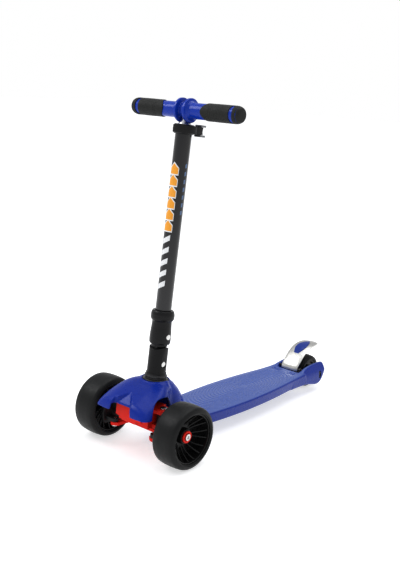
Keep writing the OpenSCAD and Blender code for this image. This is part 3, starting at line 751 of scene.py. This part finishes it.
# Outline of a tail wall from the side: distance behind the axle, height
TAIL_SIDE = [
    (428, 27), (430, 46), (446, 50), (462, 51.4), (475, 54), (487, 58.6), (503, 62.3), (530, 64.8),
    (553, 64.3), (565, 60.5), (569, 53), (563, 44), (558.5, 37), (552, 26), (543.5, 19), (532, 16.3),
    (516, 19), (488, 24.5),
]
TAIL_IN, TAIL_OUT = 29.5, 46.9
TAIL_LEAN, TAIL_LEAN_FROM = 0.58, 44
DECK_LOW, DECK_TOP = 27.0, 51.6
DECK_FRONT, DECK_BACK = 46, 481
FORK_FRONT = 482.5
TOWER_TOP = 103.0
# Hollow under the deck: wall, skin, half of the middle rib, front and back end
HOLLOW_WALL, HOLLOW_SKIN, HALF_RIB = 7.5, 4.6, 1.6
HOLLOW_ENDS = (80, 468)
RIB_FROM, RIB_PITCH, RIB_WIDTH = 90.5, 64.5, 3.7
# Standing pad: margin to the deck's side, front and back end
PAD_MARGIN = 8.5
PAD_ENDS = (118, 452)
# Ripples of the pad: middle, how much longer than wide, pitch, and height above the pad's mean
RIPPLE_MIDDLE, RIPPLE_STRETCH, RIPPLE_PITCH = 308, 2.15, 4.4
RIPPLE_HEIGHT = 0.496
# Axle slots: half of the straight part, radius, depth
SLOT_REACH, SLOT_R, SLOT_DEPTH = 4.5, 4.0, 4.3
DRAINS, DRAIN_FROM, DRAIN_PITCH = 2, 459, 7


def deck_field(x, y, z):
    """Board with a rounded rim, an oval rippled pad, ribs below and two tail walls."""
    ax = np.abs(x)
    top = DECK_TOP
    curve = np.array(spline(DECK_SIDE, 4))
    half = np.interp(y, curve[:, 0], curve[:, 1]).astype(np.float32)
    lean = 0.16 * np.clip(top - 3 - z, 0, 30)
    side = (ax - half + lean) * 0.95
    plan = smooth_max(side, np.maximum(DECK_FRONT - y, y - DECK_BACK), 2)
    slab = thick_outline(plan, z, DECK_LOW, top, 4.2)
    hollow = np.maximum(smooth_max(plan + HOLLOW_WALL, z - top + HOLLOW_SKIN, 3), HALF_RIB - ax)
    bay = np.abs((y - RIB_FROM) % RIB_PITCH - RIB_PITCH / 2) - (RIB_PITCH - RIB_WIDTH) / 2
    hollow = smooth_max(hollow, bay, 1.5)
    hollow = np.maximum(hollow, np.maximum(HOLLOW_ENDS[0] - y, y - HOLLOW_ENDS[1]))
    board = smooth_max(slab, -hollow, 1.0)
    # Standing pad: a low oval-ended plateau with ripples round its middle
    pad_ends = np.maximum(PAD_ENDS[0] - y, y - PAD_ENDS[1])
    pad = smooth_max((ax - (half - PAD_MARGIN)) * 0.95, pad_ends, 26)
    ring = np.sqrt(x ** 2 + ((y - RIPPLE_MIDDLE) / RIPPLE_STRETCH) ** 2 + 6)
    fade = np.clip(-pad / 3, 0, 1) * np.clip((ring - 4) / 3, 0, 1)
    pad_top = z - (top + 0.30 + RIPPLE_HEIGHT * np.cos(ring * (2 * math.pi / RIPPLE_PITCH)) * fade)
    board = smooth_min(board, np.maximum(np.maximum(pad, pad_top), top - 4 - z), 0.5)
    # Tail walls, which lean inward
    outline = [p for p in spline(TAIL_SIDE + TAIL_SIDE[:1], 3)][:-1]
    wall = thick_outline(outline_field(y, z, outline), ax, TAIL_IN, TAIL_OUT, 5.0)
    wall = smooth_max(wall, (ax - TAIL_OUT + (z - TAIL_LEAN_FROM) * TAIL_LEAN) * 0.86, 4)
    board = smooth_min(board, wall, 5)
    board = np.maximum(board, -np.maximum(ax - TAIL_IN, FORK_FRONT - y))
    # Axle slots in the tail walls, and drain slots in the deck
    slot_z = np.clip(z, REAR.z - SLOT_REACH, REAR.z + SLOT_REACH)
    slot = np.maximum(np.hypot(y - REAR.y, z - slot_z) - SLOT_R, TAIL_OUT - SLOT_DEPTH - ax)
    board = smooth_max(board, -slot, 0.8)
    for k in range(DRAINS):
        drain = np.hypot(ax - np.clip(ax, 12, 30), y - (DRAIN_FROM + DRAIN_PITCH * k)) - 1.3
        board = smooth_max(board, -np.maximum(drain, top - 1.6 - z), 0.5)
    # Tower under the cover
    tower = box_field(ax, y, z, (-1, 44, DECK_LOW), (20, 62, TOWER_TOP), 0.5)
    return np.minimum(board, tower)


def deck():
    board = solid("deck_shell", deck_field, (-64, 42, 12), (64, 562, 106), 1.3, crease=60)
    fit_out(board, "deck", "deck_blue", "deck_board")


# ---------------------------------------------------------------- stem
# Heights on the stem are counted along it from the fold bolt
STEM_R, STEM_WALL = 15.1, 1.7
STEM_LOW, STEM_HIGH = 68.0, 441.0


def stem():
    """Stem tube and its print."""
    inside = STEM_R - STEM_WALL
    tube = lathe("stem_tube_skin", [
        (inside, STEM_LOW, 0.2), (STEM_R, STEM_LOW, 0.4), (STEM_R, STEM_HIGH, 0.5), (inside, STEM_HIGH, 0.3),
    ], STEM_FRAME, segments=96)
    fit_out(tube, "stem", "paint", "stem_tube")
    stem_print()


def wrapped(name, outline, look, lift=0.06):
    """A thin flat shape [arc, height] laid round the stem's front; arc 0 faces forward."""
    work = bmesh.new()
    corners = [work.verts.new((arc, height, 0)) for arc, height in outline]
    work.faces.new(corners)
    bmesh.ops.triangulate(work, faces=work.faces)
    longest = 2.0
    for _ in range(3):
        bmesh.ops.subdivide_edges(work, edges=[e for e in work.edges if e.calc_length() > longest], cuts=1)
        bmesh.ops.triangulate(work, faces=[f for f in work.faces if len(f.verts) > 3])
    for vert in work.verts:
        arc, height, _ = vert.co
        turn = arc / STEM_R - math.pi / 2
        reach = STEM_R + lift
        vert.co = (reach * math.cos(turn), reach * math.sin(turn), height)
    mesh = bpy.data.meshes.new(name)
    work.to_mesh(mesh)
    work.free()
    mesh.transform(STEM_FRAME)
    shade(mesh, 60)
    piece = bpy.data.objects.new(name, mesh)
    bpy.context.scene.collection.objects.link(piece)
    fit_out(piece, "stem", look)


def chevron(half, low, low_tip, high, high_tip):
    """Outline of an arrowhead that points up."""
    return [(-half, low), (0, low_tip), (half, low), (half, high), (0, high_tip), (-half, high)]


def slanted(near, far, base, rise, height):
    """Outline of a bar whose ends climb by rise from one side to the other."""
    return [(near, base), (far, base + rise), (far, base + height), (near, base + height - rise)]


def stem_print():
    """Generic print on the stem: edged chevrons, slanted bars and a row of dashes on the side."""
    for k in range(6):
        base = 250 + 20.5 * k
        edge = chevron(10.2, base - 2.2, base + 6.4, base + 11.4, base + 21.6)
        wrapped(f"chevron_edge_{k}", edge, "white", 0.05)
        wrapped(f"chevron_{k}", chevron(9, base, base + 9, base + 10, base + 19), "orange", 0.09)
    for k in range(5):
        wrapped(f"slanted_bar_{k}", slanted(-8, 8, 140 + 21 * k, 9, 19), "white")
    quarter = STEM_R * math.pi / 2
    for k in range(7):
        wrapped(f"side_dash_{k}", slanted(quarter - 2, quarter + 2, 280 + 14 * k, 1.6, 9), "pale_blue")


# Foot of the stem: its lower end inside the cover, the ring above the flange, and the top
FOOT_LOW, FOOT_RING, FOOT_TOP = -52, -25.6, -21.0
POST_R = 20
SLEEVE_BORE = 15.2
SLEEVE_LOW, SLEEVE_HIGH = 38, 101.5
# Room for the spring in the sleeve: radius, lower and upper end
SPRING_ROOM = (17.2, 63, 97.5)


def stem_foot():
    """Stepped rings at the foot of the stem, outside of the cover, and the lower post with its tongue."""
    low, ring, top = -FLANGE_BELOW + 0.3, FOOT_RING, FOOT_TOP
    foot = lathe("stem_foot_rings", [
        (17, FOOT_LOW), (17, low), (24.5, low, 0.4), (24.5, low + 2.2, 0.9), (22.6, low + 2.9, 0.3),
        (POST_R, low + 3.1), (POST_R, ring - 1.6), (18.9, ring - 1.2), (18.9, ring - 0.1), (21.2, ring, 0.5),
        (21.2, top - 1.6, 0.6), (POST_R, top - 1.2, 0.2), (19.6, top, 0.3), (12, top), (12, FOOT_LOW),
    ], STEM_FRAME, segments=96)
    fit_out(foot, "deck", "dark_metal", "stem_base")
    soften_nodes(["lower_post", "fold_tongue"], "moulding", 0.7)


def lock_sleeve():
    """Waisted sleeve with a collar at its top and room for the spring inside."""
    bore, low, high = SLEEVE_BORE, SLEEVE_LOW, SLEEVE_HIGH
    room, room_low, room_high = SPRING_ROOM
    sleeve = lathe("lock_sleeve_skin", [
        (bore, low, 0.2), (18.8, low, 0.8), (19.9, 41, 1), (20.2, 48, 8), (19.8, 58, 20), (18.9, 70, 20),
        (18.4, 81, 1), (20.6, 83.5, 1.2), (22.2, 87, 1.8), (22.2, 94, 2.0), (21, 99, 2), (19.2, high, 0.8),
        (bore, high, 0.3), (bore, room_high), (room, room_high), (room, room_low), (bore, room_low),
    ], STEM_FRAME, segments=96)
    fit_out(sleeve, "lock", "moulding", "lock_sleeve")


def lock_spring():
    """Wound spring inside the lock sleeve."""
    turns, steps, sides = 7, 36, 10
    coil, wire = 16.1, 0.7
    low, high, fixed = 64.5, 91.1, 93.0
    points, faces = [], []
    total = turns * steps
    for i in range(total + 1):
        turn = 2 * math.pi * i / steps
        height = low + (high - low) * i / total
        for k in range(sides):
            side = 2 * math.pi * k / sides
            radius = coil + wire * math.cos(side)
            lift = wire * math.sin(side)
            points.append((radius * math.cos(turn), radius * math.sin(turn), height + lift))
    for i in range(total):
        for k in range(sides):
            a, b = i * sides + k, i * sides + (k + 1) % sides
            faces.append((a, b, b + sides, a + sides))
    faces.append(tuple(range(sides)))
    faces.append(tuple(range(total * sides + sides - 1, total * sides - 1, -1)))
    spring = mesh_object("lock_spring_wire", points, faces, STEM_FRAME, 60)
    fit_out(spring, "stem", "steel", "lock_spring")
    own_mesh(spring)


# ---------------------------------------------------------------- T-bar
BAR_Z = 465.6
BAR_R = 14.0
BAR_HALF = span("grip_left")[1].x
HUB_HALF = 122
# One half of the hub's flanges: radius, distance from the middle, rounding
FLANGES = [(17, 13.5, 2.2), (21.6, 12.2, 0.8), (21.6, 7.6, 0.8), (13.4, 7.2, 2.0)]
GRIP_IN = span("grip_left")[0].x
GRIP_R = 15.4
# Round end of the grip: where it starts and how long it is
GRIP_END, GRIP_END_LENGTH = 114.6, 12.6
GROOVES = (64, 68)
RIBBED = (72, 100)
RIB_STEP = 3.4
# Crescent window near the end: its middle and half of its greatest width
WINDOW, WINDOW_HALF = 110.5, 3.6
# Inner post: bore and outside radius, and its lower end
POST_IN, POST_OUT, POST_LOW = 10.8, 12.4, 140


def t_bar():
    """Moulded bar with two flanges, two grips and the post below."""
    to_bar = STEM_FRAME @ Matrix.Translation((0, 0, BAR_Z)) @ Matrix.Rotation(math.pi / 2, 4, "Y")
    profile = [(11, -HUB_HALF), (BAR_R, -HUB_HALF, 0.5), (BAR_R, -18, 2)]
    profile += [(radius, -place, rounding) for radius, place, rounding in FLANGES]
    profile += FLANGES[::-1] + [(BAR_R, 18, 2), (BAR_R, HUB_HALF, 0.5), (11, HUB_HALF)]
    hub = lathe("bar_hub_skin", profile, to_bar, segments=96)
    fit_out(hub, "t_bar", "bar_blue", "bar_hub")
    for side in (1, -1):
        grip(side, to_bar)
    post = lathe("inner_post_skin", [
        (POST_IN, POST_LOW, 0.2), (POST_OUT, POST_LOW, 0.4), (POST_OUT, STEM_HIGH, 1.5), (6.4, 450.5, 1.0),
        (6, 454.3, 0.2), (0, 454.3), (0, STEM_HIGH), (POST_IN, 436),
    ], STEM_FRAME, segments=72)
    fit_out(post, "t_bar", "steel", "inner_post")


def grip_field(a, b, c):
    """Grip along c: shallow ribs, a tongue at its front, a crescent window and a round end."""
    radius = np.hypot(a, b)
    facing = np.clip(-b / np.maximum(radius, 1), 0, 1)
    ending = np.clip((c - GRIP_END) / GRIP_END_LENGTH, 0, 1)
    outer = GRIP_R - 6.2 * (1 - np.sqrt(1 - ending ** 2))
    for groove in GROOVES:
        outer = outer - 0.5 * np.exp(-((c - groove) / 0.9) ** 2)
    fade = np.clip((c - RIBBED[0]) / 4, 0, 1) * np.clip((RIBBED[1] - c) / 4, 0, 1)
    ribs = 0.16 * np.cos(c * (2 * math.pi / RIB_STEP)) * fade
    body = smooth_max((radius - outer - ribs) * 0.85, c - BAR_HALF, 1.5)
    body = smooth_max(body, GRIP_IN + 9 * (1 - facing ** 2) - c, 1.0)
    window = np.abs(c - WINDOW) - WINDOW_HALF * np.sqrt(facing)
    body = smooth_max(body, -np.maximum(window, b + 2), 0.8)
    bore = np.maximum(radius - BAR_R - 0.05, c - HUB_HALF)
    return np.maximum(body, -bore)


def grip(side, to_bar):
    name = side_name(side)
    flip = Matrix.Identity(4) if side > 0 else Matrix.Diagonal((1, 1, -1, 1))
    low, high = (-17.5, -17.5, 42), (17.5, 17.5, 129)
    piece = solid(name + "_grip_rubber", grip_field, low, high, 0.6, to_bar @ flip)
    fit_out(piece, "t_bar", "grip", "grip_" + name)


# ---------------------------------------------------------------- foot brake
# Line of the fender from the side: distance behind the axle, height
FENDER_LINE = [
    (481.9, 52.6), (482.2, 57), (484.5, 62.5), (490, 70), (498, 78.5), (507, 86.5), (519, 94), (532, 98.6),
    (546, 100.6), (560, 101), (574, 98.4),
]
# Outline of the fender from above: distance behind the axle, half width
FENDER_HALF = [(480, 21.5), (545, 21.5), (556, 20), (566, 17), (572, 12.5), (575, 6)]
FENDER_THICKNESS = 2.4
FENDER_SAG = 1.5
SCREW_PLACE = (0, 495.6, 69)
SCREW_TILT = 66


def fender():
    """Curved sheet over the rear wheel, and the screw in its face."""
    line = spline(FENDER_LINE, 5)
    half_y, half_x = zip(*FENDER_HALF)
    total = len(line) - 1
    across_steps = 16
    points, faces = [], []
    for layer in (0, 1):
        for i, (y, z) in enumerate(line):
            before, after = line[max(i - 1, 0)], line[min(i + 1, total)]
            run = Vector((after[0] - before[0], after[1] - before[1])).normalized()
            normal = Vector((-run.y, run.x))
            half = np.interp(y, half_y, half_x)
            for k in range(across_steps + 1):
                u = 2 * k / across_steps - 1
                sag = FENDER_SAG * abs(u) ** 4
                lift = FENDER_THICKNESS - sag if layer else -0.9 * sag
                points.append((u * half, y + normal.x * lift, z + normal.y * lift))
    row = across_steps + 1
    size = (total + 1) * row
    for i in range(total):
        for k in range(across_steps):
            a = i * row + k
            faces.append((a, a + row, a + row + 1, a + 1))
            b = a + size
            faces.append((b, b + 1, b + row + 1, b + row))
    for i in range(total):
        for k in (0, across_steps):
            a = i * row + k
            faces.append((a, a + size, a + row + size, a + row))
    for i in (0, total):
        for k in range(across_steps):
            a = i * row + k
            faces.append((a, a + 1, a + 1 + size, a + size))
    sheet = mesh_object("fender_sheet", points, faces, TO_FRAME, 40)
    weld(sheet, 40)
    fit_out(sheet, "brake", "fender", "brake_fender")
    face = Matrix.Translation(SCREW_PLACE) @ Matrix.Rotation(math.radians(SCREW_TILT), 4, "X")
    screw = lathe("fender_screw", [
        (0, -1), (3.6, -1), (3.6, 0.9, 0.8), (1.5, 1.9, 0.6), (1.4, 0.8), (0, 0.8),
    ], TO_FRAME @ face, segments=40)
    fit_out(screw, "brake", "steel")


# ---------------------------------------------------------------- all pieces
add_camera()
add_stage()
front_wheel(1)
front_wheel(-1)
rear_wheel()
front_cover()
deck()
stem()
stem_foot()
lock_sleeve()
lock_spring()
t_bar()
fender()
soften_nodes(["axle_beam", "tie_rod"], "red", 1.6, 3)
soften_nodes(["knuckle_left", "knuckle_right"], "moulding", 1.4, 3)
knuckle_boss(1)
knuckle_boss(-1)
soften_nodes(["truck_bracket"], "paint", 0.8, 3)
soften_nodes(["clamp_lever", "clamp_collar"], "moulding", 1.7, 4)
soften_nodes(["cam_block"], "cast", 0.8, 3)
soften_nodes(["fender_inlay"], "inlay_blue", 0.3, 2)
soften_nodes([
    "axle_bolt_left", "axle_bolt_right", "pivot_bolt", "pivot_nut", "lock_pin",
    "kingpins", "kingpin_nuts", "tie_pin_left", "tie_pin_right", "lean_pin", "clamp_bolt", "clamp_nut",
    "lever_pin", "base_bolts", "bracket_bolts",
], "steel", 0.4, 2)
soften_nodes(["rear_axle_nuts", "rear_axle", "brake_pin"], "rim", 0.4, 2)

# CAD nodes that show as they are; the ones not named here are steel
NODE_LOOKS = {"lean_buffers": "buffer", "tube_bush": "moulding", "brake_spring": "rim"}
for name, node in frame["nodes"].items():
    if not node.hide_render:
        node.data.materials.clear()
        node.data.materials.append(MATERIALS[NODE_LOOKS.get(name, "steel")])
